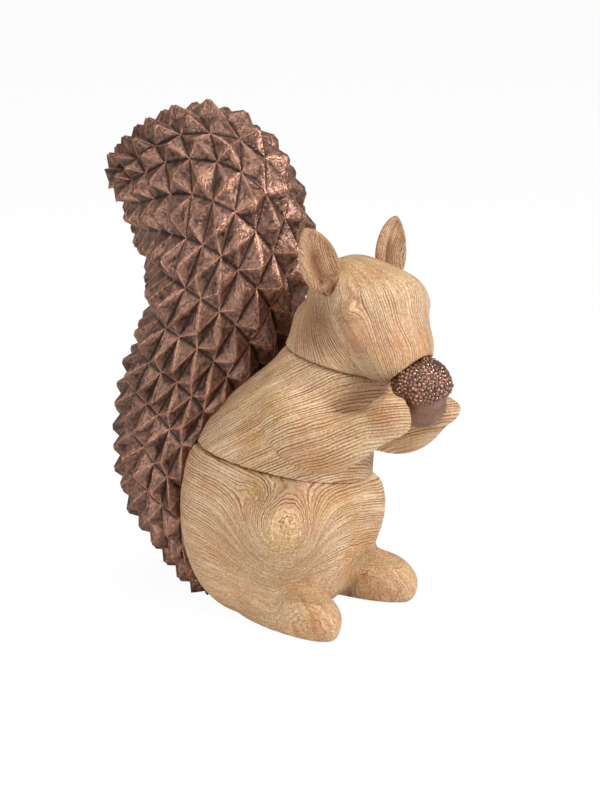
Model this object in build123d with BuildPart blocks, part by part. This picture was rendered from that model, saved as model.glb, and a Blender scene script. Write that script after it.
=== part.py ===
from math import cos, pi, radians, sin, tan
import os

from build123d import *

# Squirrel figurine: three stacked wood blocks (lower body, upper body, head) with carved feet, arms and
# ears, an acorn held in the paws, and a cast tail covered in pointed scales like a pine cone.
# Millimetres. The squirrel faces -Y, +Z is up, and its right side is at -X.

# Torso, skinned over level ovals from the ground to inside the head
torso_height = 148.0
belly_width = 94.0
belly_depth = 84.0
chest_lean = 36.0
# Shares of torso height, of chest lean forward, of belly width and of belly depth
torso_shares = (
    (0.0, -0.14, 0.62, 0.62),
    (0.06, -0.16, 0.80, 0.83),
    (0.17, -0.17, 0.94, 0.98),
    (0.34, -0.15, 1.00, 1.03),
    (0.49, -0.05, 0.94, 1.00),
    (0.61, 0.17, 0.84, 0.91),
    (0.72, 0.50, 0.75, 0.80),
    (0.83, 0.90, 0.66, 0.69),
    (0.92, 1.10, 0.61, 0.69),
    (1.0, 1.22, 0.54, 0.68),
)

# Saw cuts between the blocks, each rolled towards the left side and pitched forward
waist_height = 68.5
waist_roll = 12.0
waist_pitch = 6.0
neck_ahead = 31.0
neck_height = 122.0
neck_roll = 13.5
neck_pitch = 10.0
seam_width = 1.2
seam_depth = 1.0

# Head, arms, ears and acorn turn this far to the right and lean this far to the left
figure_turn = 4.0
figure_roll = 4.0

# Haunches and feet
haunch_spread = 23.5
haunch_ahead = 4.0
haunch_height = 43.0
haunch_width = 42.0
haunch_length = 64.0
haunch_rise = 70.0
foot_spread = 26.5
foot_ahead = 20.0
foot_height = 7.0
foot_length = 68.0
foot_width = 23.0
foot_rise = 32.0
foot_splay = 7.0
toes_ahead = 34.0
toes_spread = 28.3
toes_height = 9.5
toes_length = 40.0
toes_width = 22.0
toes_rise = 27.0
toe_groove_radius = 1.1
toe_groove_spread = 8.0
toe_groove_arc = 120.0

# Head, skinned over ovals square to the line from its back to its nose
head_centre_ahead = 46.0
head_centre_height = 146.5
head_pitch = 40.0
head_length = 66.0
head_width = 49.0
head_height = 52.0
# Shares of head length from its centre, of head height for the rise, of head width and of head height
head_shares = (
    (-0.385, -0.04, 0.38, 0.36),
    (-0.25, -0.04, 0.80, 0.76),
    (-0.08, -0.02, 0.98, 0.96),
    (0.08, 0.03, 1.02, 1.03),
    (0.19, 0.04, 0.98, 0.96),
    (0.29, 0.02, 0.84, 0.79),
    (0.38, 0.01, 0.75, 0.69),
    (0.48, 0.03, 0.58, 0.54),
    (0.55, 0.05, 0.38, 0.34),
)
head_back_share = -0.425
nose_share = 0.585
nose_rise_share = 0.07

# Closed eyelids, each an egg half sunk in the side of the face
lid_spread = 19.5
lid_ahead = 54.0
lid_height = 149.0
lid_width = 8.0
lid_length = 13.0
lid_rise = 8.0
lid_pitch = 26.0
lid_toe_in = 24.0

# Ears, each a cupped leaf on a round tenon
ear_spread = 21.0
ear_ahead = 41.0
ear_root_height = 161.0
ear_length = 27.0
ear_width = 21.0
ear_thickness = 9.0
ear_wall = 2.4
ear_lean_out = 25.0
ear_lean_back = 13.0
ear_turn = 2.0
# Shares of ear length, of ear width and of ear thickness
ear_shares = (
    (-0.08, 0.56, 0.70),
    (0.05, 0.82, 0.94),
    (0.25, 1.00, 1.00),
    (0.48, 0.97, 0.95),
    (0.70, 0.76, 0.80),
    (0.89, 0.40, 0.50),
)
tenon_radius = 2.6
tenon_length = 9.0
tenon_in_ear = 3.0

# Arms, skinned from shoulder to paw
arm_width = 32.0
# Shares of arm width: out, ahead and up of each station's centre, then its half width and half height
arm_shares = (
    (0.30, 0.60, 3.44, 0.46, 0.42),
    (0.64, 0.84, 3.20, 0.53, 0.50),
    (0.80, 1.18, 2.92, 0.51, 0.48),
    (0.80, 1.62, 2.88, 0.43, 0.42),
    (0.72, 2.00, 3.06, 0.34, 0.33),
    (0.64, 2.24, 3.24, 0.28, 0.30),
    (0.55, 2.45, 3.40, 0.28, 0.32),
)
arm_tip_shares = (0.42, 2.63, 3.49)

# Acorn, held cap up between the tips of the paws and leaning towards its right
acorn_behind_tips = 5.66
acorn_above_tips = 5.92
acorn_side = 2.0
acorn_lean_ahead = 11.0
acorn_lean_side = 18.0
nut_radius = 11.0
nut_length = 20.0
nut_spigot = 6.0
nut_waist_share = 0.92
nut_waist_drop_share = 0.50
nut_point_share = 0.36
nut_point_drop_share = 0.90
acorn_clearance = 0.1
cap_radius = 13.0
cap_height = 13.8
cap_scale_height = 1.2
cap_crown = 1.8
cap_rows = 9
cap_columns = 20

# Tail: front and rear lines of its side profile, as shares of tail reach back and of tail height
tail_height = 227.0
tail_reach = 100.0
tail_width = 80.0
scale_height = 7.6
scale_sink = 2.0
scale_droop = 2.6
tail_rows = 24
tail_columns = 14
tail_front_shares = (
    (0.28, -0.02),
    (0.24, 0.14),
    (0.22, 0.30),
    (0.13, 0.44),
    (0.04, 0.56),
    (-0.03, 0.68),
    (-0.02, 0.80),
    (0.07, 0.91),
    (0.26, 0.985),
    (0.50, 1.00),
    (0.74, 0.96),
    (0.93, 0.895),
    (1.00, 0.845),
)
tail_rear_shares = (
    (0.36, -0.02),
    (0.69, 0.07),
    (0.885, 0.18),
    (0.92, 0.30),
    (0.815, 0.42),
    (0.67, 0.52),
    (0.66, 0.62),
    (0.765, 0.70),
    (0.815, 0.76),
    (0.82, 0.79),
    (0.86, 0.81),
    (0.91, 0.82),
    (0.95, 0.82),
)
# Shares of tail width at the same stations
tail_width_shares = (0.46, 0.76, 0.88, 0.88, 0.85, 0.87, 0.94, 1.00, 0.98, 0.90, 0.74, 0.52, 0.30)
tail_clearance = 0.3

# Dowels and pins
dowel_radius = 4.0
dowel_clearance = 0.1
dowel_end_gap = 0.5
dowel_chamfer = 0.6
waist_dowel_length = 30.0
waist_dowel_spacing = 34.0
neck_dowel_length = 22.0
neck_dowel_spacing = 20.0
tail_dowel_length = 24.0
lower_tail_dowel_height = 36.0
upper_tail_dowel_height = 86.0
peg_radius = 1.5
peg_length = 10.0
peg_drop = 5.5

up = Vector(0, 0, 1)

# Head, arms, ears and acorn take one turn about the upright and one roll at chest height
upper_set = (
    Location((0, 0, neck_height), (0, 0, -figure_turn))
    * Location((0, 0, 0), (0, figure_roll, 0))
    * Location((0, 0, -neck_height))
)


def skinned(ovals, start=None, end=None):
    """Solid skinned over ovals, each a plane and two half sizes, with either end drawn to a point."""
    with BuildPart() as form:
        stations = [Vertex(*start)] if start else []
        for plane, half_x, half_y in ovals:
            with BuildSketch(plane) as oval:
                Ellipse(half_x, half_y)
            stations.append(oval.sketch.faces()[0])
        loft(stations + ([Vertex(*end)] if end else []))
    return form.part


def torso(grow):
    """Torso form from the ground to inside the head, with each oval grown all round."""
    ovals = []
    for height, lean, width, depth in torso_shares:
        centre = (0, -lean * chest_lean, height * torso_height)
        level = Plane(origin=centre, x_dir=(0, -1, 0), z_dir=up)
        ovals.append((level, depth * belly_depth / 2 + grow, width * belly_width / 2 + grow))
    return skinned(ovals)


def egg(place, width, length, rise):
    """Rounded form with three sizes."""
    with BuildPart() as form:
        Sphere(1)
        scale(by=(width / 2, length / 2, rise / 2))
    return form.part.moved(place)


def set_on(side, spread, ahead, height):
    """Where a leg form sits, splayed to its own side."""
    return Location((side * spread, -ahead, height), (0, 0, side * foot_splay))


def leg(side):
    """Haunch, foot and toes of one side, with two grooves wrapped over the toes."""
    toes_place = set_on(side, toes_spread, toes_ahead, toes_height)
    with BuildPart() as form:
        add(egg(set_on(side, haunch_spread, haunch_ahead, haunch_height), haunch_width, haunch_length, haunch_rise))
        add(egg(set_on(side, foot_spread, foot_ahead, foot_height), foot_width, foot_length, foot_rise))
        add(egg(toes_place, toes_width, toes_length, toes_rise))
        for offset in (-toe_groove_spread / 2, toe_groove_spread / 2):
            ring = Plane(origin=(offset, 0, 0), x_dir=up, z_dir=(1, 0, 0))
            with Locations(toes_place * ring.location):
                Torus(
                    toes_rise / 2 - toe_groove_radius / 2,
                    toe_groove_radius,
                    major_angle=toe_groove_arc,
                    mode=Mode.SUBTRACT,
                )
    return form.part


def arm(side):
    """One arm, skinned from inside the shoulder to the paw."""
    centres = [Vector(side * out, -ahead, rise) * arm_width for out, ahead, rise, _, _ in arm_shares]
    tip = Vector(side * arm_tip_shares[0], -arm_tip_shares[1], arm_tip_shares[2]) * arm_width
    path = centres + [tip]
    ovals = []
    for index, (_, _, _, width, height) in enumerate(arm_shares):
        toward = (path[index + 1] - path[max(index - 1, 0)]).normalized()
        down = up.cross(toward).cross(toward).normalized()
        square = Plane(origin=centres[index], x_dir=down, z_dir=toward)
        ovals.append((square, height * arm_width, width * arm_width))
    return skinned(ovals, end=tip)


def cut_plane(origin, roll, pitch):
    """Plane of a saw cut, rolled to the left and pitched forward."""
    return Plane(
        origin=origin,
        x_dir=Vector(1, 0, 0).rotate(Axis.Y, roll).rotate(Axis.X, pitch),
        z_dir=up.rotate(Axis.Y, roll).rotate(Axis.X, pitch),
    )


def back_at(height):
    """How far behind the middle the torso's back lies at a height."""
    share = height / torso_height
    for low, high in zip(torso_shares, torso_shares[1:]):
        if low[0] <= share <= high[0]:
            part = (share - low[0]) / (high[0] - low[0])
            lean = low[1] + part * (high[1] - low[1])
            depth = low[3] + part * (high[3] - low[3])
            return depth * belly_depth / 2 - lean * chest_lean


def dowel(radius, length):
    """Round dowel with both ends chamfered."""
    with BuildPart() as form:
        Cylinder(radius, length)
        chamfer(form.faces().filter_by(Axis.Z).edges(), dowel_chamfer)
    return form.part


def drill(places, radius, length):
    """Cut the holes that take a dowel at each place from the piece being built."""
    with Locations(*places):
        Cylinder(radius + dowel_clearance, length + 2 * dowel_end_gap, mode=Mode.SUBTRACT)


waist_plane = cut_plane((0, 0, waist_height), waist_roll, waist_pitch)
neck_plane = cut_plane((0, -neck_ahead, neck_height), neck_roll, neck_pitch)

# Dowel places: right then left at the waist and neck, low then high at the tail
waist_places, neck_places = [
    [plane.location * Location((side * spacing / 2, 0, 0)) for side in (-1, 1)]
    for plane, spacing in ((waist_plane, waist_dowel_spacing), (neck_plane, neck_dowel_spacing))
]
tail_places = [
    Location((0, back_at(height), height), (90, 0, 0))
    for height in (lower_tail_dowel_height, upper_tail_dowel_height)
]

seam_core = torso(-seam_depth)


def seam(plane):
    """Ring that cuts a narrow groove round the joint between two blocks."""
    with BuildPart() as ring:
        with Locations(plane.location):
            Cylinder(belly_width, seam_width)
        add(seam_core, mode=Mode.SUBTRACT)
    return ring.part


_, tips_ahead, tips_height = arm_tip_shares
acorn_middle = Vector(
    acorn_side,
    acorn_behind_tips - tips_ahead * arm_width,
    tips_height * arm_width + acorn_above_tips,
)
acorn_axis = Vector(-tan(radians(acorn_lean_side)), -tan(radians(acorn_lean_ahead)), 1).normalized()
acorn_place = upper_set * Plane(origin=acorn_middle, z_dir=acorn_axis).location


def peg_place(side):
    """Middle of the peg that runs from the nut's own middle line toward the heart of one paw."""
    nut_middle = acorn_middle - acorn_axis * peg_drop
    out, ahead, rise, _, _ = arm_shares[-1]
    paw_middle = Vector(side * out, -ahead, rise) * arm_width
    toward_paw = (paw_middle - nut_middle).normalized()
    return upper_set * Plane(origin=nut_middle + toward_paw * nut_radius, z_dir=toward_paw).location


peg_places = [peg_place(side) for side in (-1, 1)]


def nut(grow):
    """Acorn nut standing on its point, its top a spigot that fills the cap."""
    radius, length = nut_radius + grow, nut_length + grow
    with BuildPart() as form:
        with BuildSketch(Plane.XZ):
            with BuildLine():
                Line((0, nut_spigot + grow), (radius, nut_spigot + grow))
                Line((radius, nut_spigot + grow), (radius, 0))
                Spline(
                    (radius, 0),
                    (radius * nut_waist_share, -length * nut_waist_drop_share),
                    (radius * nut_point_share, -length * nut_point_drop_share),
                    (0, -length),
                    tangents=((0, -1), (-1, -1)),
                )
                Line((0, -length), (0, nut_spigot + grow))
            make_face()
        revolve(axis=Axis.Z)
    return form.part


with BuildPart() as dome:
    width = 2 * (cap_radius + cap_scale_height + acorn_clearance)
    add(egg(Location(), width, width, 2 * (cap_height + cap_scale_height + acorn_clearance)))
    split(bisect_by=Plane.XY.offset(-acorn_clearance), keep=Keep.TOP)
    add(nut(acorn_clearance))
acorn_room = dome.part.moved(acorn_place)

with BuildPart() as lower_body:
    add(torso(0))
    for side in (-1, 1):
        add(leg(side))
    split(bisect_by=waist_plane, keep=Keep.BOTTOM)
    split(bisect_by=Plane.XY, keep=Keep.TOP)
    add(seam(waist_plane), mode=Mode.SUBTRACT)
    drill(waist_places, dowel_radius, waist_dowel_length)
    drill(tail_places[:1], dowel_radius, tail_dowel_length)

with BuildPart() as upper_body:
    add(torso(0))
    for side in (-1, 1):
        add(arm(side).moved(upper_set))
    split(bisect_by=waist_plane, keep=Keep.TOP)
    split(bisect_by=neck_plane, keep=Keep.BOTTOM)
    for plane in (waist_plane, neck_plane):
        add(seam(plane), mode=Mode.SUBTRACT)
    add(acorn_room, mode=Mode.SUBTRACT)
    drill(waist_places, dowel_radius, waist_dowel_length)
    drill(neck_places, dowel_radius, neck_dowel_length)
    drill(tail_places[1:], dowel_radius, tail_dowel_length)
    drill(peg_places, peg_radius, peg_length)

head_centre = Vector(0, -head_centre_ahead, head_centre_height)
head_toward = Vector(0, -1, 0).rotate(Axis.X, head_pitch)
head_rise = up.rotate(Axis.X, head_pitch)


def head_point(along_share, rise_share):
    return head_centre + head_toward * (along_share * head_length) + head_rise * (rise_share * head_height)


skull_ovals = [
    (
        Plane(origin=head_point(along, rise), x_dir=head_rise * -1, z_dir=head_toward),
        height * head_height / 2,
        width * head_width / 2,
    )
    for along, rise, width, height in head_shares
]
skull = skinned(skull_ovals, head_point(head_back_share, 0), head_point(nose_share, nose_rise_share))


def ear_plane(side):
    """Plane at an ear's root, its normal along the ear and its X to the back of the ear."""
    axis = Vector(side * sin(radians(ear_lean_out)), sin(radians(ear_lean_back)), 1).normalized()
    facing = Vector(side * sin(radians(ear_turn)), -cos(radians(ear_turn)), 0)
    front = axis.cross(facing).cross(axis).normalized()
    return Plane(origin=(side * ear_spread, -ear_ahead, ear_root_height), x_dir=front * -1, z_dir=axis)


def tenon(side, gap, end_gap):
    """Round tenon that runs from inside an ear down into the head."""
    length = tenon_length + end_gap
    with BuildPart() as form:
        with Locations(ear_plane(side).location * Location((0, 0, tenon_in_ear - length / 2))):
            Cylinder(tenon_radius + gap, length)
    return form.part


def ear(side):
    """One ear, a leaf hollowed from the front and cut to the skull, on its tenon."""
    root = ear_plane(side)
    to_front = root.x_dir * (ear_thickness / 2)
    ovals = []
    hollow_ovals = []
    for along, width, thickness in ear_shares:
        level = root.offset(along * ear_length)
        ovals.append((level, thickness * ear_thickness / 2, width * ear_width / 2))
        ahead = Plane(origin=level.origin - to_front, x_dir=root.x_dir, z_dir=root.z_dir)
        hollow_ovals.append((ahead, thickness * (ear_thickness - ear_wall), width * ear_width / 2 - ear_wall))
    tip = root.offset(ear_length).origin
    hollow_tip = root.offset(ear_length - ear_wall).origin - to_front
    with BuildPart() as leaf:
        add(skinned(ovals, end=tip))
        add(skinned(hollow_ovals[1:], end=hollow_tip), mode=Mode.SUBTRACT)
        add(skull, mode=Mode.SUBTRACT)
        add(tenon(side, 0, 0))
    return leaf.part.moved(upper_set)


with BuildPart() as head:
    add(torso(0))
    add(skull.moved(upper_set))
    for side in (-1, 1):
        lid = Location((side * lid_spread, -lid_ahead, lid_height), (lid_pitch, 0, side * lid_toe_in))
        add(egg(upper_set * lid, lid_width, lid_length, lid_rise))
    split(bisect_by=neck_plane, keep=Keep.TOP)
    add(seam(neck_plane), mode=Mode.SUBTRACT)
    add(acorn_room, mode=Mode.SUBTRACT)
    for side in (-1, 1):
        add(tenon(side, dowel_clearance, dowel_end_gap).moved(upper_set), mode=Mode.SUBTRACT)
    drill(neck_places, dowel_radius, neck_dowel_length)


def tail_lattice():
    """Corner points of the scales: rows along the tail, columns round it, odd rows half a step on."""
    front = Spline(*[Vector(0, y * tail_reach, z * tail_height) for y, z in tail_front_shares])
    rear = Spline(*[Vector(0, y * tail_reach, z * tail_height) for y, z in tail_rear_shares])
    last = len(tail_width_shares) - 1
    breadth = Spline(*[Vector(i / last, w, 0) for i, w in enumerate(tail_width_shares)])
    rows = []
    for row in range(tail_rows + 1):
        share = row / tail_rows
        front_point, rear_point = front @ share, rear @ share
        middle = (front_point + rear_point) / 2
        half_depth = (front_point - rear_point) / 2
        half_depth -= half_depth.normalized() * scale_sink
        half_width = Vector((breadth @ share).Y * tail_width / 2 - scale_sink, 0, 0)
        ring = []
        for column in range(tail_columns):
            angle = 2 * pi * (column + row % 2 / 2) / tail_columns
            ring.append(middle + half_depth * cos(angle) + half_width * sin(angle))
        rows.append(ring)
    return rows


def pyramid(corners, height, droop):
    """The four sloping faces of one scale, its point raised off the corners and drooped to the root."""
    left, below, right, above = corners
    normal = (right - left).cross(above - below).normalized()
    point = sum(corners, Vector()) / len(corners) + normal * height + (below - above).normalized() * droop
    return [
        Face(Wire.make_polygon([corners[k], corners[(k + 1) % len(corners)], point]))
        for k in range(len(corners))
    ]


def scaly_skin(rows, height, droop, crown):
    """Closed solid whose skin is pyramids over the diamonds between staggered rings of corners.

    The far end closes in a point, the crown, raised this much off its ring.
    """
    faces = []
    columns = len(rows[0])
    for row in range(1, len(rows) - 1):
        for column in range(columns):
            shift = row % 2
            left = rows[row][column]
            right = rows[row][(column + 1) % columns]
            above = rows[row + 1][(column + shift) % columns]
            below = rows[row - 1][(column + shift) % columns]
            faces += pyramid([left, below, right, above], height, droop)
    for ring, neighbour, shift, order, rise in (
        (rows[0], rows[1], 0, 1, 0),
        (rows[-1], rows[-2], (len(rows) - 1) % 2, -1, crown),
    ):
        pole = sum(ring, Vector()) / columns
        pole += (pole - sum(neighbour, Vector()) / columns).normalized() * rise
        for column in range(columns):
            here, following = ring[column], ring[(column + 1) % columns]
            between = neighbour[(column + shift) % columns]
            faces.append(Face(Wire.make_polygon([here, between, following][::order])))
            faces.append(Face(Wire.make_polygon([following, pole, here][::order])))
    return Solid(Shell(faces))


with BuildPart() as tail:
    add(scaly_skin(tail_lattice(), scale_height, scale_droop, 0))
    add(torso(tail_clearance), mode=Mode.SUBTRACT)
    split(bisect_by=Plane.XY, keep=Keep.TOP)
    drill(tail_places, dowel_radius, tail_dowel_length)

with BuildPart() as acorn_cap:
    rows = []
    for row in range(cap_rows + 1):
        angle = pi / 2 * row / (cap_rows + 0.5)
        ring = []
        for column in range(cap_columns):
            around = 2 * pi * (column + row % 2 / 2) / cap_columns
            reach = cap_radius * cos(angle)
            ring.append(Vector(reach * cos(around), reach * sin(around), cap_height * sin(angle)))
        rows.append(ring)
    add(scaly_skin(rows, cap_scale_height, 0, cap_crown))
    add(nut(acorn_clearance), mode=Mode.SUBTRACT)

with BuildPart() as acorn_nut:
    add(nut(0).moved(acorn_place))
    drill(peg_places, peg_radius, peg_length)

pieces = {
    "lower_body": lower_body.part,
    "upper_body": upper_body.part,
    "head": head.part,
    "right_ear": ear(-1),
    "left_ear": ear(1),
    "acorn_nut": acorn_nut.part,
    "acorn_cap": acorn_cap.part.moved(acorn_place),
    "tail": tail.part,
}
for name, places, radius, length in (
    ("waist_dowel", waist_places, dowel_radius, waist_dowel_length),
    ("neck_dowel", neck_places, dowel_radius, neck_dowel_length),
    ("paw_peg", peg_places, peg_radius, peg_length),
):
    for side, place in zip(("right", "left"), places):
        pieces[f"{name}_{side}"] = dowel(radius, length).moved(place)
for end, place in zip(("low", "high"), tail_places):
    pieces[f"tail_dowel_{end}"] = dowel(dowel_radius, tail_dowel_length).moved(place)

# The origin is the middle of the whole figure's footprint, on the ground
box = Compound(list(pieces.values())).bounding_box()
centred = Location((-box.center().X, -box.center().Y, -box.min.Z))
print("figure size", box.size, "moved by", centred.position)

os.makedirs("parts", exist_ok=True)
for name, piece in pieces.items():
    placed = piece.moved(centred)
    placed.label = name
    export_step(placed, f"parts/{name}.step")
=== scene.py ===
import math

import bmesh
import bpy
import numpy as np
from mathutils import Matrix, Vector
from mathutils.kdtree import KDTree


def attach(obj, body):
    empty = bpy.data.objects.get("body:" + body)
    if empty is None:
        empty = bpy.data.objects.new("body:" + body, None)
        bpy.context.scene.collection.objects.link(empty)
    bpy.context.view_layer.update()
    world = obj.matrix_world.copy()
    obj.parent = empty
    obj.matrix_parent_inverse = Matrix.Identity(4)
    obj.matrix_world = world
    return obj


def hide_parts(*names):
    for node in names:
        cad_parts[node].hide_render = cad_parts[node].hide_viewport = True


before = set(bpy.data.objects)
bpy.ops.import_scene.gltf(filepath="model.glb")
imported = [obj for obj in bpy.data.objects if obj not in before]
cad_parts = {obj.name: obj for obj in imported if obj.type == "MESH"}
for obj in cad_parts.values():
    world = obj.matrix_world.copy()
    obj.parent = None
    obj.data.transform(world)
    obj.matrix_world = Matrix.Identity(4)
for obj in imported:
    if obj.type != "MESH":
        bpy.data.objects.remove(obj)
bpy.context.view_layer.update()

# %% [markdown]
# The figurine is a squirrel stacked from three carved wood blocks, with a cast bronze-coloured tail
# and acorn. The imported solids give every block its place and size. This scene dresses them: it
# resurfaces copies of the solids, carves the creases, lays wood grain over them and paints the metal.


def at(x, y, z):
    """A point in metres from millimetres."""
    return Vector((x, y, z)) / 1000


# %% [markdown]
# The camera stands in front of the squirrel's right side and a little above it, about a metre away,
# where a studio camera with a short telephoto lens would be. It is aimed a little beside the figure's
# middle, and the track quaternion keeps its horizon level.

# %% Camera
azimuth, elevation = math.radians(-52), math.radians(16)
toward_camera = Vector(
    (
        math.sin(azimuth) * math.cos(elevation),
        -math.cos(azimuth) * math.cos(elevation),
        math.sin(elevation),
    )
)
picture_right = Vector((math.cos(azimuth), math.sin(azimuth), 0))
picture_up = toward_camera.cross(picture_right)
figure_middle = at(0, -3.1, 112)
camera_distance = 0.996
aim_right, aim_down = 0.00687, 0.01443
eye_point = figure_middle + toward_camera * camera_distance
aim_point = figure_middle + picture_right * aim_right - picture_up * aim_down

lens_data = bpy.data.cameras.new("studio_camera")
lens_data.lens = 97.84
lens_data.sensor_width = 36
camera = bpy.data.objects.new("studio_camera", lens_data)
bpy.context.scene.collection.objects.link(camera)
camera.location = eye_point
camera.rotation_mode = "QUATERNION"
camera.rotation_quaternion = (aim_point - eye_point).to_track_quat("-Z", "Y")
bpy.context.scene.camera = camera
bpy.context.scene.view_settings.view_transform = "Standard"
print("camera stands", round((eye_point - figure_middle).length * 1000), "mm from the figure")

# %% [markdown]
# The figure stands on a plain white table. Only rays from the camera see the table and the world as
# near white, so that the light on the figure stays as soft and plain as the lamps make it, while the
# shadow under the feet stays.

# %% Table, world and lamps
def node_in(tree, kind, values=None, **options):
    """Adds a shader node, with its sockets linked or set by name or number."""
    made = tree.nodes.new("ShaderNode" + kind)
    for name, value in options.items():
        setattr(made, name, value)
    for socket, value in (values or {}).items():
        if isinstance(value, bpy.types.NodeSocket):
            tree.links.new(value, made.inputs[socket])
        else:
            made.inputs[socket].default_value = value
    return made


def tone(red, green, blue):
    """A colour as written on a paint card, 0 to 255, made linear for the shaders."""
    shares = [c / 255 for c in (red, green, blue)]
    return tuple(c / 12.92 if c < 0.04045 else ((c + 0.055) / 1.055) ** 2.4 for c in shares) + (1.0,)


table_paint = bpy.data.materials.new("white_table")
table_paint.use_nodes = True
tree = table_paint.node_tree
tree.nodes.clear()
seen = node_in(tree, "LightPath").outputs["Is Camera Ray"]
matt = node_in(tree, "BsdfDiffuse", {"Color": (0.75, 0.75, 0.75, 1)}).outputs[0]
glow = node_in(tree, "Emission", {"Color": (1, 1, 1, 1), "Strength": 1.05}).outputs[0]
share = node_in(tree, "Math", {0: seen, 1: 0.9}, operation="MULTIPLY").outputs[0]
mixed = node_in(tree, "MixShader", {0: share, 1: matt, 2: glow}).outputs[0]
node_in(tree, "OutputMaterial", {"Surface": mixed})

bm = bmesh.new()
bmesh.ops.create_grid(bm, x_segments=2, y_segments=2, size=3.0)
table_mesh = bpy.data.meshes.new("table")
bm.to_mesh(table_mesh)
bm.free()
table_top = bpy.data.objects.new("table", table_mesh)
bpy.context.scene.collection.objects.link(table_top)
table_mesh.materials.append(table_paint)

world = bpy.data.worlds.new("studio")
bpy.context.scene.world = world
world.use_nodes = True
tree = world.node_tree
tree.nodes.clear()
seen = node_in(tree, "LightPath").outputs["Is Camera Ray"]
soft = node_in(tree, "Background", {"Color": (1, 1, 1, 1), "Strength": 0.3}).outputs[0]
white = node_in(tree, "Background", {"Color": (1, 1, 1, 1), "Strength": 1.0}).outputs[0]
mixed = node_in(tree, "MixShader", {0: seen, 1: soft, 2: white}).outputs[0]
node_in(tree, "OutputWorld", {"Surface": mixed})


def soft_lamp(name, place, size, power):
    """A square lamp that faces the middle of the figure."""
    lamp = bpy.data.lights.new(name, "AREA")
    lamp.size = size
    lamp.energy = power
    piece = bpy.data.objects.new(name, lamp)
    bpy.context.scene.collection.objects.link(piece)
    piece.location = place
    piece.rotation_mode = "QUATERNION"
    piece.rotation_quaternion = (figure_middle - place).to_track_quat("-Z", "Y")
    return piece


key_place = figure_middle + toward_camera * 0.6 + picture_right * 0.95 + Vector((0, 0, 0.5))
fill_place = figure_middle + toward_camera * 0.75 - picture_right * 0.6 + Vector((0, 0, 0.1))
top_place = figure_middle - toward_camera * 0.2 - picture_right * 0.2 + Vector((0, 0, 1.1))
soft_lamp("key_lamp", key_place, 0.4, 14.2)
soft_lamp("fill_lamp", fill_place, 0.7, 4.6)
soft_lamp("top_lamp", top_place, 0.6, 4.0)

# %% [markdown]
# A CAD solid arrives as a thin skin of long triangles, too few and too uneven to carve. A copy of it
# is merged and then rebuilt by the voxel remesh, which gives small even squares over the whole block,
# as a carver sands a sawn block before the fine work. The copy stands for its solid.

# %% Copies and resurfacing
def copy_of(node, name):
    """A merged copy of a node's mesh, as a piece of its own that stands for the node."""
    bm = bmesh.new()
    bm.from_mesh(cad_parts[node].data)
    bmesh.ops.remove_doubles(bm, verts=bm.verts, dist=2e-6)
    mesh = bpy.data.meshes.new(name)
    bm.to_mesh(mesh)
    bm.free()
    for layer in [a.name for a in mesh.attributes if a.name in ("custom_normal", "sharp_face", "sharp_edge")]:
        mesh.attributes.remove(mesh.attributes[layer])
    piece = bpy.data.objects.new(name, mesh)
    bpy.context.scene.collection.objects.link(piece)
    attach(piece, "root")
    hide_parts(node)
    return piece


def resurface(piece, voxel):
    """Rebuilds a piece's skin from even squares of the given size, in millimetres."""
    remesh = piece.modifiers.new("remesh", "REMESH")
    remesh.mode = "VOXEL"
    remesh.voxel_size = voxel / 1000
    graph = bpy.context.evaluated_depsgraph_get()
    rebuilt = bpy.data.meshes.new_from_object(piece.evaluated_get(graph))
    piece.modifiers.clear()
    piece.data = rebuilt
    rebuilt.name = piece.name
    for face in rebuilt.polygons:
        face.use_smooth = True
    print(piece.name, "has", len(rebuilt.vertices), "points after resurfacing")


def skin_of(piece):
    """Points in millimetres and outward directions of a piece's vertices."""
    mesh = piece.data
    points = np.empty(len(mesh.vertices) * 3)
    mesh.vertices.foreach_get("co", points)
    outward = np.empty(len(mesh.vertices) * 3)
    mesh.vertex_normals.foreach_get("vector", outward)
    return points.reshape(-1, 3) * 1000, outward.reshape(-1, 3)


def set_skin(piece, points):
    """Moves a piece's vertices to points in millimetres, none below the table."""
    points[:, 2] = np.maximum(points[:, 2], 0)
    piece.data.vertices.foreach_set("co", (points / 1000).ravel())
    piece.data.update()


def store(piece, name, values):
    """Keeps one number for each vertex, which the finish reads by name."""
    layer = piece.data.attributes.new(name, "FLOAT", "POINT")
    layer.data.foreach_set("value", np.ascontiguousarray(values, dtype=np.float32))


def near(points, centre, reach):
    """1 at a point, falling softly to 0 over a few reaches."""
    away = np.linalg.norm(points - np.array(centre), axis=1) / reach
    return np.exp(-away * away)


def ease(values, low, high):
    """0 below low, 1 above high, with a smooth step between."""
    share = np.clip((values - low) / (high - low), 0, 1)
    return share * share * (3 - 2 * share)


def soften(piece, weights, rounds):
    """Relaxes the skin towards the mean of its neighbours, most where the weights are near 1."""
    mesh = piece.data
    ends = np.empty(len(mesh.edges) * 2, dtype=np.int32)
    mesh.edges.foreach_get("vertices", ends)
    first, second = ends[::2], ends[1::2]
    here, there = np.r_[first, second], np.r_[second, first]
    points, _ = skin_of(piece)
    count = np.bincount(here, minlength=len(points))
    for _ in range(rounds):
        for k in range(3):
            mean = np.bincount(here, weights=points[there, k], minlength=len(points)) / count
            points[:, k] += weights * (mean - points[:, k])
    set_skin(piece, points)


def swell(piece, centre, reach, height):
    """Raises a soft mound round a point, or sinks a hollow where the height is negative."""
    points, outward = skin_of(piece)
    set_skin(piece, points + outward * (height * near(points, centre, reach))[:, None])


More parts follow.
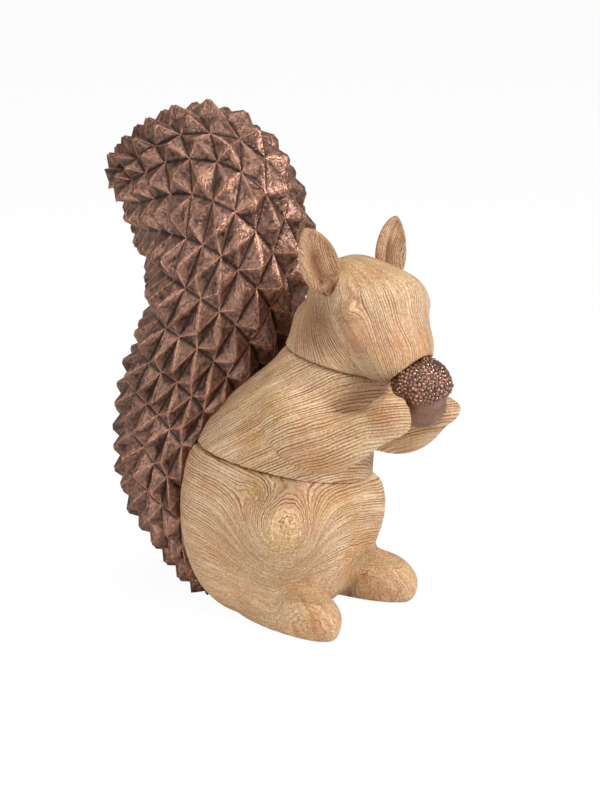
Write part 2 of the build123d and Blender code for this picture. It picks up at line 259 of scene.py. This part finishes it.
def carve(piece, path, width, depth):
    """Cuts a soft groove along a path of points, or raises a ridge where the depth is negative."""
    points, outward = skin_of(piece)
    path = np.array(path, dtype=float)
    nearest = np.full(len(points), 1e9)
    for start, end in zip(path, path[1:]):
        along = end - start
        share = np.clip((points - start) @ along / (along @ along), 0, 1)
        away = np.linalg.norm(points - start - share[:, None] * along, axis=1)
        nearest = np.minimum(nearest, away)
    set_skin(piece, points - outward * (depth * np.exp(-((nearest / width) ** 2)))[:, None])


# %% [markdown]
# Wire-brushed grain follows the years of growth, so its lines are the level lines of one slowly
# changing number, as contour lines are on a map. Each block gets such a number for every vertex:
# a height across the block, pushed up into a hill round each knot, so that lines part and circle there.
# The finish turns the number into grooves, and the widest of them are also cut into the skin.

# %% Helpers for the grain
chance = np.random.default_rng(7)
wave_ways = chance.normal(size=(24, 3))
wave_ways /= np.linalg.norm(wave_ways, axis=1)[:, None]
wave_starts = chance.uniform(0, 2 * math.pi, 24)
groove_table = chance.uniform(-1, 1, 512)


def wander(points, length, first=0):
    """Smooth wandering between about -1 and 1, with swings of roughly the given length."""
    total = np.zeros(len(points))
    for k in range(first, first + 6):
        total += np.sin(points @ wave_ways[k] * (2 * math.pi / length) + wave_starts[k])
    return total / 3


def uneven(values):
    """Smooth chance heights between -1 and 1 along a line of numbers, one for each whole step."""
    whole = np.floor(values).astype(int)
    share = values - whole
    share = share * share * (3 - 2 * share)
    low, high = groove_table[whole % 512], groove_table[(whole + 1) % 512]
    return low + (high - low) * share


def brush_out(piece, grain, depth, spacing, keep):
    """Cuts the widest grooves into the skin along the level lines of the grain."""
    points, outward = skin_of(piece)
    fade = 0.6 + 0.4 * wander(points, 30, 6)
    cut = np.clip(uneven(grain / spacing), -0.2, 1) + 0.2
    set_skin(piece, points - outward * (depth * cut * fade * keep)[:, None])


def unit(x, y, z):
    """A direction of length one."""
    way = np.array((x, y, z), dtype=float)
    return way / np.linalg.norm(way)


# %% [markdown]
# The finish of all the wood is one recipe. It reads the grain number and draws three kinds of line from
# it: brushed grooves at an uneven pitch, short dashes between them, and a fine speckle. Grooves are
# sunk and dark ochre, partly ochre stain and partly painted shade, the wood between them is cream, and
# rusty and yellowish patches drift over both. A shade number darkens hollows with painted shade.

# %% Carved wood finish
def carved_wood(name, patch_share):
    """Matt carved wood that follows the grain, lines, knot, rust and painted shade numbers of a piece."""
    paint = bpy.data.materials.new(name)
    paint.use_nodes = True
    tree = paint.node_tree
    tree.nodes.clear()

    def math_of(operation, *values, **options):
        """Output of one sum or product."""
        sockets = dict(enumerate(values))
        return node_in(tree, "Math", sockets, operation=operation, **options).outputs[0]

    def between(value, low, high, start=0.0, end=1.0):
        """A value moved from one range to another."""
        return node_in(tree, "MapRange", {0: value, 1: low, 2: high, 3: start, 4: end}).outputs[0]

    def cloud(scale, detail):
        """Smooth noise about the place on the piece, features as wide as one over the scale."""
        return node_in(tree, "TexNoise", {"Vector": place, "Scale": scale, "Detail": detail}).outputs["Fac"]

    def streaks(line, pitch, scale, detail):
        """Noise drawn out along the level lines: pitch across them in grain units, one over scale along."""
        wide = math_of("MULTIPLY", line, 1 / (pitch * scale))
        sockets = {"Vector": place, "W": wide, "Scale": scale, "Detail": detail}
        return node_in(tree, "TexNoise", sockets, noise_dimensions="4D").outputs["Fac"]

    groove_pitch = 1.3
    place = node_in(tree, "TexCoord").outputs["Object"]
    grain, lines, knot, rust, painted_shade = (
        node_in(tree, "Attribute", attribute_name=label).outputs["Fac"]
        for label in ("grain", "lines", "knot", "rust", "painted_shade")
    )
    sway = math_of("ADD", between(cloud(120.0, 1.5), 0.3, 0.7, -0.2, 0.2), grain)
    curl = math_of("MULTIPLY", between(cloud(330.0, 2.0), 0.3, 0.7, -2.2, 2.2), knot)
    line = math_of("ADD", sway, curl)

    unrest = between(streaks(line, 4.0, 18.0, 0.0), 0.2, 0.8, -1.6, 1.6)
    turns = math_of("MULTIPLY_ADD", line, 2 * math.pi / groove_pitch, math_of("MULTIPLY", unrest, 2.2))
    groove = between(math_of("COSINE", turns), 0.25, 1.0)
    strength = between(streaks(line, 2.4, 30.0, 1.0), 0.34, 0.62, 0.25, 0.95)
    furrow = math_of("MULTIPLY", math_of("MULTIPLY", groove, strength), lines)
    dashes = between(streaks(line, 0.55, 80.0, 1.0), 0.3, 0.7, -0.5, 0.5)
    speck = between(cloud(950.0, 3.0), 0.3, 0.7, -0.5, 0.5)
    fine = math_of("MULTIPLY_ADD", speck, 0.75, math_of("MULTIPLY", dashes, 0.65))
    # Low levels, in the grooves, take the dark ochre end of the ramp: partly ochre stain, partly painted
    # shade.
    level = math_of("MULTIPLY_ADD", furrow, -0.44, math_of("MULTIPLY_ADD", fine, 0.45, 0.68))

    ramp = node_in(tree, "ValToRGB", {0: level})
    ramp.color_ramp.elements[0].position = 0.12
    ramp.color_ramp.elements[0].color = tone(144, 96, 58)
    ramp.color_ramp.elements[1].position = 0.86
    ramp.color_ramp.elements[1].color = tone(236, 210, 178)
    for position, colour in ((0.4, tone(194, 147, 105)), (0.64, tone(217, 180, 141))):
        ramp.color_ramp.elements.new(position).color = colour

    def tinted(share, colour, paint_card, **options):
        """A colour mixed toward a card by a share."""
        sockets = {0: share, 6: colour, 7: paint_card}
        return node_in(tree, "Mix", sockets, data_type="RGBA", **options).outputs[2]

    spots = between(cloud(60.0, 4.0), 0.45, 0.66, 0.0, patch_share)
    weight = between(level, 0.2, 0.9, 1.0, 0.3)
    stain = math_of("MULTIPLY", math_of("ADD", spots, rust), weight, use_clamp=True)
    warm = tinted(stain, ramp.outputs[0], tone(192, 128, 84))
    drift = between(cloud(34.0, 2.0), 0.5, 0.72, 0.0, 0.5)
    pale = math_of("MULTIPLY_ADD", knot, 0.45, drift, use_clamp=True)
    yellow = tinted(pale, warm, tone(244, 228, 178), blend_type="MULTIPLY")
    # Painted shade: where a piece's shade number is high, the colour is darkened as painted shade.
    with_painted_shade = tinted(painted_shade, yellow, tone(140, 96, 62), blend_type="MULTIPLY")

    relief = math_of("MULTIPLY_ADD", furrow, -1.0, math_of("MULTIPLY", fine, 0.5))
    chips = math_of("MULTIPLY", cloud(520.0, 2.0), math_of("MULTIPLY", knot, 1.2))
    bump = node_in(tree, "Bump", {"Distance": 0.0007, "Height": math_of("ADD", relief, chips)})
    surface = node_in(
        tree,
        "BsdfPrincipled",
        {
            "Base Color": with_painted_shade,
            "Roughness": between(level, 0.2, 0.8, 0.72, 0.55),
            "Specular IOR Level": 0.35,
            "Normal": bump.outputs[0],
        },
    )
    node_in(tree, "OutputMaterial", {"Surface": surface.outputs[0]})
    return paint


body_wood = carved_wood("carved_wood", 0.6)
ear_wood = carved_wood("ear_wood", 0.35)

# %% [markdown]
# The lower body is one rounded block, the squirrel's belly with its haunches and feet. On the real
# figure the haunches melt into the belly, with a soft crease only beside the far thigh, so the skin is
# relaxed where the rounded forms meet. A big knot sits at the front of the near haunch.

# %% Lower body
waist_way = unit(0.20, -0.10, 1.0)
wide_groove_spacing = 2.4


def finish_wood(piece, paint, grain, knot, rust, painted_shade, lines, depth):
    """Cuts the wide grooves and keeps the numbers that the wood finish reads."""
    brush_out(piece, grain, depth, wide_groove_spacing, lines)
    numbers = {"grain": grain, "knot": knot, "rust": rust, "painted_shade": painted_shade, "lines": lines}
    for name, values in numbers.items():
        store(piece, name, values)
    piece.data.materials.clear()
    piece.data.materials.append(paint)


lower_body = copy_of("lower_body", "belly_block")
resurface(lower_body, 0.8)
points, _ = skin_of(lower_body)
soften(lower_body, 0.7 * ease(points[:, 2], 8, 20) * (1 - ease(points[:, 2], 62, 66)), 60)
soften(lower_body, 0.5 * (1 - ease(points[:, 2], 62, 66)), 10)
carve(lower_body, [(15, -41, 62), (12.2, -41, 50), (8, -41, 40), (2, -40, 27)], 2.6, 1.5)
swell(lower_body, (26, -37, 50), 12, 0.8)
for path in (
    [(-33.3, -45.0, 20.7), (-35.1, -52.0, 15.4), (-34.9, -54.7, 8.9)],
    [(-36.0, -38.9, 19.1), (-38.1, -46.3, 14.7), (-37.9, -49.0, 5.8)],
    [(24.1, -49.3, 18.0), (24.9, -54.5, 12.1), (28.4, -56.2, 4.9)],
):
    carve(lower_body, path, 1.1, 0.7)

points, _ = skin_of(lower_body)
big_knot = near(points, (-38, -32, 46.5), 20)
knot_core = near(points, (-38.3, -32, 45.5), 8)
small_knot = near(points, (-41, -18, 66), 6)
far_knot = near(points, (40, 12, 40), 14)
foot = (1 - ease(points[:, 2], 16, 26)) * (1 - ease(points[:, 1], -34, -24))
low = 1 - ease(points[:, 2], 14, 44)
across = points @ waist_way + 38 * big_knot - 6 * small_knot + 24 * far_knot
grain = across * (1 - foot) + (points @ unit(1, 0.12, 0.25) * 1.1 + 40) * foot + 0.6 * wander(points, 45)
lines = 0.95 - 0.5 * low - 0.4 * knot_core
rust = 0.6 * near(points, (-45, 2, 40), 13) + 0.55 * near(points, (-34, -48, 12), 9)
rust = rust + 0.5 * near(points, (-42, -14, 58), 8) + 0.55 * near(points, (22, -56, 14), 8)
knots = knot_core + 0.3 * big_knot + 0.5 * small_knot + 0.3 * low
finish_wood(lower_body, body_wood, grain, knots, rust, 0 * rust, lines, 0.2)

# %% [markdown]
# The upper body holds the chest, shoulders and arms. Its grain dips forward across the shoulders,
# nearly in line with the saw cuts, and levels out along the forearms. A crease at each wrist rounds the
# paw into a ball. The hollow between arm and chin is sunk, and painted shade darkens it and the chin's
# underside.

# %% Upper body
upper_body = copy_of("upper_body", "chest_block")
resurface(upper_body, 0.8)
points, _ = skin_of(upper_body)
inside = ease(points[:, 2], 70, 76)
soften(upper_body, 0.6 * inside, 30)
carve(upper_body, [(-27.4, -76.0, 119), (-31.6, -74.4, 114.4), (-35.5, -74.5, 109)], 2.4, 1.7)
carve(upper_body, [(-27, -88, 104.5), (-31.5, -83, 101.5), (-34.5, -77, 101.5)], 2.0, 0.8)
swell(upper_body, (-31.3, -83.5, 111.5), 6.5, 1.0)
points, _ = skin_of(upper_body)
soften(upper_body, 0.9 * np.minimum(1.5 * near(points, (12, -90, 107.5), 6), 1), 30)
swell(upper_body, (-30, -68, 114), 4, -1.0)

points, _ = skin_of(upper_body)
dip = np.interp(points[:, 1], [-95, -75, -62, -50, 40], [-14, -9, -4, 1, 56])
grain = points[:, 2] * 0.9 + points[:, 0] * 0.18 + dip + 0.6 * wander(points, 50)
grain = grain + 5 * near(points, (-38, -55, 92), 16)
rust = 0.8 * near(points, (-31, -84, 111), 6) + 0.45 * near(points, (-40, -45, 88), 12)
# Painted shade in the hollow between arm and chin and under the chin.
painted_shade = 0.7 * near(points, (-28, -66, 115), 6) + 0.5 * near(points, (-20, -70, 118), 7)
finish_wood(upper_body, body_wood, grain, 0 * rust, rust, painted_shade, 1 + 0 * rust, 0.3)

# %% [markdown]
# The head block is the neck, cheeks and muzzle in one piece, with closed eyes. Each lid swells out of
# the cheek under a brow, with a puffed cheek below it and a crease where the muzzle starts. The marks
# are set on the right side and mirrored across the middle of the turned and tilted head.

# %% Head
head = copy_of("head", "head_block")
resurface(head, 0.5)
points, _ = skin_of(head)
soften(head, 0.6 * ease(points[:, 2], 128, 134), 20)

figure_shift, neck_height = -3.114, 122.0
figure_turn, figure_roll = math.radians(4.0), math.radians(4.0)
tilt = Matrix.Translation((0, figure_shift, neck_height)) @ Matrix.Rotation(-figure_turn, 4, "Z")
tilt = tilt @ Matrix.Rotation(figure_roll, 4, "Y") @ Matrix.Translation((0, 0, -neck_height))
mirrored = tilt @ Matrix.Scale(-1, 4, (1, 0, 0)) @ tilt.inverted()
near_eye = (-25.3, -58.1, 153.6)
far_eye = tuple(mirrored @ Vector(near_eye))
creases = (
    (0.9, 0.9, [(-26.3, -53.6, 149.6), (-26.2, -58.6, 148.6), (-24.8, -63.5, 150.2)]),
    (1.1, 0.5, [(-25.7, -52.0, 152.0), (-23.6, -52.6, 157.0), (-22.6, -58.0, 158.4)]),
    (1.2, 0.7, [(-22.6, -58.0, 158.4), (-23.4, -63.5, 155.8), (-23.0, -66.3, 151.5)]),
    (2.0, -0.5, [(-21.0, -56.0, 161.5), (-21.6, -65.0, 158.0), (-21.0, -69.5, 152.0)]),
    (1.1, 0.7, [(-26.9, -54.5, 146.5), (-26.8, -56.6, 141.7), (-24.7, -59.5, 136.5), (-23.5, -64.0, 135.4)]),
    (0.8, 0.5, [(-22.1, -68.8, 138.2), (-20.3, -72.3, 138.8), (-18.9, -73.4, 141.4)]),
    (1.4, 0.3, [(-19.5, -72.4, 142.0), (-18.1, -76.0, 137.2), (-16.6, -78.0, 132.8)]),
)
mounds = ((near_eye, 3.4, 1.9), ((-25.6, -61.0, 142.5), 5.5, 1.3))
for side in (1, -1):
    for width, depth, path in creases:
        carve(head, [p if side > 0 else tuple(mirrored @ Vector(p)) for p in path], width, depth)
    for centre, reach, height in mounds:
        swell(head, centre if side > 0 else tuple(mirrored @ Vector(centre)), reach, height)

points, _ = skin_of(head)
crown = np.array((-3.0, -46.0, 150.0))
along = unit(-0.02, -0.48, -0.88)
side_way = unit(*np.cross(along, (1, 0, 0)))
far_way = np.cross(side_way, along)
out = points - crown
close = np.linalg.norm(out - (out @ along)[:, None] * along, axis=1)
grain = np.arctan2(out @ far_way, out @ side_way) * 33 + 1.1 * wander(points, 26)
eyes = near(points, near_eye, 4.5) + near(points, far_eye, 4.5)
rust = 0.5 * near(points, (-25, -60, 150), 7) + 0.6 * near(points, (-8, -62, 168), 5)
rust = rust + 0.75 * near(points, (-24, -61, 138), 6) + 0.5 * near(points, (-14, -74, 140), 5)
top = ease(points[:, 2], 156, 166)
lines = ease(close, 5, 12) * (0.9 - 0.45 * top)
# Painted shade darkens the back of the cheek, beside the tail.
painted_shade = 0.7 * near(points, (-22, -40, 142), 15)
finish_wood(head, body_wood, grain + 6 * eyes, 0.3 * top + 0.35 * eyes, rust, painted_shade, lines, 0.15)

# %% [markdown]
# The ears are thin cupped leaves set into the skull. Their fibres run from root to tip, so the grain
# number grows across the leaf, the way in which its points spread second most. They are pale on the
# rim; painted shade darkens the whole leaf a little and the valley most, and rust is heavier in the valley.

# %% Ears
for node, name in (("right_ear", "right_ear_leaf"), ("left_ear", "left_ear_leaf")):
    ear = copy_of(node, name)
    resurface(ear, 0.45)
    points, outward = skin_of(ear)
    soften(ear, np.full(len(points), 0.5), 6)
    points, outward = skin_of(ear)
    middle = points.mean(axis=0)
    ways = np.linalg.svd(points - middle, full_matrices=False)[2]
    length_way = ways[0] * np.sign(ways[0][2])
    front = ways[2] * -np.sign(ways[2][1])
    sideways = (points - middle) @ ways[1]
    height = (points - middle) @ length_way
    hollow = np.exp(-((sideways / 3.2) ** 2)) * ease(outward @ front, 0.1, 0.7) * (1 - ease(height, 2, 10))
    grain = sideways * 1.6 + 0.4 * wander(points, 14)
    print(name, "length runs", length_way.round(2), "front faces", front.round(2))
    # Painted shade: a little over the whole leaf, most in the valley.
    rust, painted_shade = 0.25 + 0.3 * hollow, 0.3 + 0.5 * hollow
    finish_wood(ear, ear_wood, grain, 0 * grain, rust, painted_shade, 0.6 + 0 * grain, 0.08)

# %% [markdown]
# The tail is a resin casting with rows of pointed scales, painted as antique bronze: nearly black in
# the valleys, partly from dark wash and partly as painted shade, brown on the facets, where facets that
# face up are painted lighter as painted light from above, and rubbed to bare copper on the ridges. How
# far a spot of a facet lies from a ridge changes evenly across the facet, so each facet's corners keep
# their distance to each of its edges, and the finish draws a crisp worn edge at any size. Bevelled facets
# come in another order on each run, so they are sorted by place before each draws its tone, to look the
# same every time.

# %% Bronze finish
def bronze(name, grit, shine):
    """Antique bronze paint: copper where the ridge distance is small, near black by valleys as wash and
    painted shade.
    """
    paint = bpy.data.materials.new(name)
    paint.use_nodes = True
    tree = paint.node_tree
    tree.nodes.clear()
    place = node_in(tree, "TexCoord").outputs["Object"]
    ridge = node_in(tree, "Attribute", attribute_name="ridge").outputs["Vector"]
    valley = node_in(tree, "Attribute", attribute_name="valley").outputs["Vector"]

    def least(three):
        """Smallest of three distances."""
        parts = node_in(tree, "SeparateXYZ", {0: three}).outputs
        two = node_in(tree, "Math", {0: parts[0], 1: parts[1]}, operation="MINIMUM").outputs[0]
        return node_in(tree, "Math", {0: two, 1: parts[2]}, operation="MINIMUM").outputs[0]

    def blend(share, colour, other):
        """A colour mixed toward another by a share."""
        return node_in(tree, "Mix", {0: share, 6: colour, 7: other}, data_type="RGBA").outputs[2]

    patches = {"Vector": place, "Scale": 130.0, "Detail": 4.0, "Roughness": 0.65}
    wear = node_in(tree, "TexNoise", patches).outputs["Fac"]
    pits = node_in(tree, "TexNoise", {"Vector": place, "Scale": 520.0, "Detail": 3.0}).outputs["Fac"]
    width = node_in(tree, "MapRange", {0: wear, 1: 0.4, 2: 0.72, 3: 0.02, 4: 0.9}).outputs[0]
    from_ridge = least(ridge)
    edge = node_in(tree, "Math", {0: from_ridge, 1: width}, operation="DIVIDE").outputs[0]
    rub = node_in(tree, "MapRange", {0: edge, 1: 0.3, 2: 1.0, 3: 0.85, 4: 0.0}).outputs[0]
    haze = node_in(tree, "MapRange", {0: from_ridge, 1: 0.0, 2: 3.2, 3: 0.25, 4: 0.0}).outputs[0]
    # Near a valley the colour goes near black: partly the dark wash of antique bronze, partly painted shade.
    low = node_in(tree, "MapRange", {0: least(valley), 1: 0.0, 2: 1.9, 3: 1.0, 4: 0.0}).outputs[0]

    # The facet number is a random tone; on the tail it also holds painted light from above, lighter on upward
    # facets.
    facet = node_in(tree, "Attribute", attribute_name="facet").outputs["Fac"]
    grime = node_in(tree, "Math", {0: wear, 1: pits}, operation="ADD").outputs[0]
    tone_and_top_light = node_in(tree, "Math", {0: facet, 1: 0.8, 2: grime}, operation="MULTIPLY_ADD").outputs[0]
    paleness = node_in(tree, "Math", {0: tone_and_top_light, 1: 0.4}, operation="MULTIPLY").outputs[0]
    mottle = node_in(tree, "ValToRGB", {0: paleness})
    mottle.color_ramp.elements[0].position = 0.4
    mottle.color_ramp.elements[0].color = tone(64, 44, 37)
    mottle.color_ramp.elements[1].position = 0.83
    mottle.color_ramp.elements[1].color = tone(188, 144, 124)
    hazy = blend(haze, mottle.outputs[0], tone(182, 132, 108))
    dark_wash_and_shade = blend(low, hazy, tone(46, 31, 25))
    rubbed = blend(rub, dark_wash_and_shade, tone(208, 148, 120))

    rough = node_in(tree, "MapRange", {0: pits, 1: 0.3, 2: 0.7, 3: shine, 4: shine + 0.22}).outputs[0]
    height = node_in(tree, "Math", {0: wear, 1: 0.9, 2: pits}, operation="MULTIPLY_ADD").outputs[0]
    bump = node_in(tree, "Bump", {"Strength": 1.0, "Distance": grit, "Height": height})
    surface = node_in(
        tree,
        "BsdfPrincipled",
        {
            "Base Color": rubbed,
            "Metallic": 0.75,
            "Roughness": rough,
            "Specular IOR Level": 0.5,
            "Normal": bump.outputs[0],
        },
    )
    node_in(tree, "OutputMaterial", {"Surface": surface.outputs[0]})
    return paint


no_edge = 99.0
blunt_cap_area = 2.5e-6


def keep_edges(piece, steep):
    """Keeps, for each corner of each facet, its distance to the facet's ridges and valleys."""
    bm = bmesh.new()
    bm.from_mesh(piece.data)
    ridge_layer = bm.loops.layers.float_vector.new("ridge")
    valley_layer = bm.loops.layers.float_vector.new("valley")
    strip = bm.faces.layers.int.get("strip")
    facet_tone_and_top_light = bm.faces.layers.float.get("facet")
    plate = bm.faces.layers.int.get("plate")
    for face in bm.faces:
        ridge, valley = [], []
        for loop in face.loops:
            edge = loop.edge
            turn = edge.calc_face_angle_signed(0)
            by_strip = any(f[strip] for f in edge.link_faces)
            by_cap = any(f.calc_area() < blunt_cap_area for f in edge.link_faces)
            same = len({f[plate] for f in edge.link_faces}) < 2
            height = face.calc_area() * 2 / max(edge.calc_length(), 1e-9) * 1000
            ridge.append(height if by_strip or turn > steep else None)
            valley.append(height if turn < -steep / 2 and not (by_strip or by_cap or same) else None)
        for index, loop in enumerate(face.loops):
            for layer, kinds in ((ridge_layer, ridge), (valley_layer, valley)):
                reach = [no_edge] * 3
                for k in range(3):
                    if kinds[k] is not None:
                        reach[k] = kinds[k] if index == (k + 2) % 3 else 0.0
                loop[layer] = reach
            if face[strip]:
                loop[ridge_layer] = (0.9 * face[facet_tone_and_top_light], no_edge, no_edge)
    bm.to_mesh(piece.data)
    bm.free()


foot_height = 0.004
sliver_area = 4e-6
plate_area = 1.2e-5
plate_dish = 0.25
sharp_turn = 0.15
ridge_wears = (0.15, 0.26, 0.4)


def place_of(face):
    """Middle of a facet in hundredths of a millimetre."""
    return tuple(round(c * 1e5) for c in face.calc_center_median())


def hand_finish(piece, ragged, lift, relief, blunt):
    """Shifts the scales' points, sinks their corners, and blunts the points and a ridge or more of each."""
    bm = bmesh.new()
    bm.from_mesh(piece.data)
    bmesh.ops.triangulate(bm, faces=bm.faces)
    bm.normal_update()
    strip = bm.faces.layers.int.new("strip")
    facet_tone_and_top_light = bm.faces.layers.float.new("facet")
    swing = np.random.default_rng(11)
    tips, corners = [], []
    for vert in bm.verts:
        turns = [edge.calc_face_angle_signed(0) for edge in vert.link_edges]
        large = min(face.calc_area() for face in vert.link_faces) > sliver_area
        if large and vert.co.z > foot_height:
            if len(turns) == 4 and min(turns) > sharp_turn:
                tips.append(vert)
            elif len(turns) == 8 and min(turns) < -sharp_turn:
                corners.append(vert)
    pushes = [(vert, Vector((0, 0, lift)), ragged) for vert in tips]
    pushes += [(vert, vert.normal * -relief, ragged * 0.8) for vert in corners]
    for vert, push, shake in pushes:
        vert.co += (push + Vector(swing.uniform(-shake, shake, 3))) / 1000
    bm.normal_update()
    ridges = []
    for vert in tips:
        upright = sorted(vert.link_edges, key=lambda e: e.other_vert(vert).co.z)
        for edge in upright[:3]:
            way = (edge.other_vert(vert).co - vert.co).normalized()
            ridges.append((vert.co + way * blunt / 1000 + edge.other_vert(vert).co) / 2)
    soft = {"offset_type": "OFFSET", "segments": 1, "profile": 0.5, "clamp_overlap": True, "material": -1}
    bmesh.ops.bevel(bm, geom=tips, offset=blunt / 1000, affect="VERTICES", **soft)
    for turn, wear in enumerate(ridge_wears):
        tree = KDTree(len(ridges))
        for index, middle in enumerate(ridges):
            tree.insert(middle if index % 3 == turn else (9, 9, 9), index)
        tree.balance()
        edges = [e for e in bm.edges if tree.find((e.verts[0].co + e.verts[1].co) / 2)[2] < 5e-5]
        rounded = bmesh.ops.bevel(bm, geom=edges, offset=wear / 1000, affect="EDGES", **soft)
        for face in rounded["faces"]:
            face[strip] = 1
        print(piece.name, "rounds", len(edges), "ridges by", wear, "mm")
    plate = bm.faces.layers.int.new("plate")
    for index, face in enumerate(bm.faces):
        face[plate] = index
    large = [face for face in bm.faces if face.calc_area() > plate_area]
    bmesh.ops.poke(bm, faces=large, offset=-plate_dish / 1000)
    bmesh.ops.triangulate(bm, faces=bm.faces)
    bm.normal_update()
    # Every facet draws a random tone. All but the ridge strips also get painted light from above: the more a
    # facet faces up, the lighter it is painted.
    for face in sorted(bm.faces, key=place_of):
        luck = swing.uniform(0, 1)
        face[facet_tone_and_top_light] = luck if face[strip] else 0.5 * luck + 0.25 * (1 + face.normal.z)
    print(piece.name, "has", len(tips), "points,", len(corners), "corners and", len(bm.faces), "facets")
    bm.to_mesh(piece.data)
    bm.free()


tail_bronze = bronze("tail_bronze", 0.0006, 0.3)
tail = copy_of("tail", "scaly_tail")
hand_finish(tail, 0.7, 0.6, 0.5, 1.8)
keep_edges(tail, 0.25)
tail.data.materials.clear()
tail.data.materials.append(tail_bronze)

# %% [markdown]
# The acorn is cast and painted like the tail. Its cap carries small uneven knobs that catch the light,
# and its nut is smoother. Neither has the tail's ridges, so each gets ridge and valley distances of its
# own: from the knobs on the cap, and one even value on the nut.

# %% Acorn
cap = copy_of("acorn_cap", "acorn_cap_knobs")
resurface(cap, 0.4)
points, outward = skin_of(cap)
soften(cap, np.full(len(points), 0.6), 12)
points, outward = skin_of(cap)
knob_spacing, knob_edge, knob_sink = 1.5, 1.3, 0.35
order = np.random.default_rng(5).permutation(len(points))
knobs = []
for index in order:
    spot = points[index]
    if all(np.linalg.norm(spot - points[other]) > knob_spacing for other in knobs):
        knobs.append(index)
apart = np.linalg.norm(points[:, None, :] - points[knobs][None, :, :], axis=2)
ranked = np.sort(apart, axis=1)
dip = np.clip((ranked[:, 1] - ranked[:, 0]) / knob_edge, 0, 1)
height = np.sqrt(dip) * (0.8 + 0.3 * wander(points, 7))
set_skin(cap, points + outward * (height - knob_sink)[:, None])
print("acorn cap has", len(knobs), "knobs")
# The spots between knobs count as valleys, which the bronze paints near black as dark wash and painted shade.
for label, values in (("ridge", 1.5 * (1 - height)), ("valley", 3.2 * dip)):
    layer = cap.data.attributes.new(label, "FLOAT_VECTOR", "POINT")
    layer.data.foreach_set("vector", np.repeat(np.maximum(values, 0), 3).astype(np.float32))
store(cap, "facet", np.full(len(points), 0.8))
cap.data.materials.clear()
cap.data.materials.append(bronze("cap_bronze", 0.0004, 0.18))

nut = copy_of("acorn_nut", "acorn_nut_smooth")
resurface(nut, 0.5)
points, _ = skin_of(nut)
for label in ("ridge", "valley"):
    layer = nut.data.attributes.new(label, "FLOAT_VECTOR", "POINT")
    layer.data.foreach_set("vector", np.full(len(points) * 3, 1.4, dtype=np.float32))
store(nut, "facet", np.full(len(points), 0.9))
nut.data.materials.clear()
nut.data.materials.append(bronze("nut_bronze", 0.0002, 0.42))

# %% [markdown]
# Dowels and pegs join the blocks out of sight. They keep their solids, in plain pale turned wood.

# %% Dowels and pegs
plain = bpy.data.materials.new("dowel_wood")
plain.use_nodes = True
tree = plain.node_tree
tree.nodes.clear()
place = node_in(tree, "TexCoord").outputs["Object"]
stretch = node_in(tree, "Mapping", {0: place, 3: (1.0, 1.0, 0.15)}).outputs[0]
fibres = node_in(tree, "TexNoise", {"Vector": stretch, "Scale": 900.0, "Detail": 3.0}).outputs["Fac"]
hue = node_in(tree, "Mix", {0: fibres, 6: tone(196, 158, 112), 7: tone(228, 200, 160)}, data_type="RGBA")
bump = node_in(tree, "Bump", {"Strength": 0.5, "Distance": 0.0002, "Height": fibres})
surface = node_in(
    tree, "BsdfPrincipled", {"Base Color": hue.outputs[2], "Roughness": 0.6, "Normal": bump.outputs[0]}
)
node_in(tree, "OutputMaterial", {"Surface": surface.outputs[0]})
for name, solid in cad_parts.items():
    if "dowel" in name or "peg" in name:
        solid.data.materials.clear()
        solid.data.materials.append(plain)
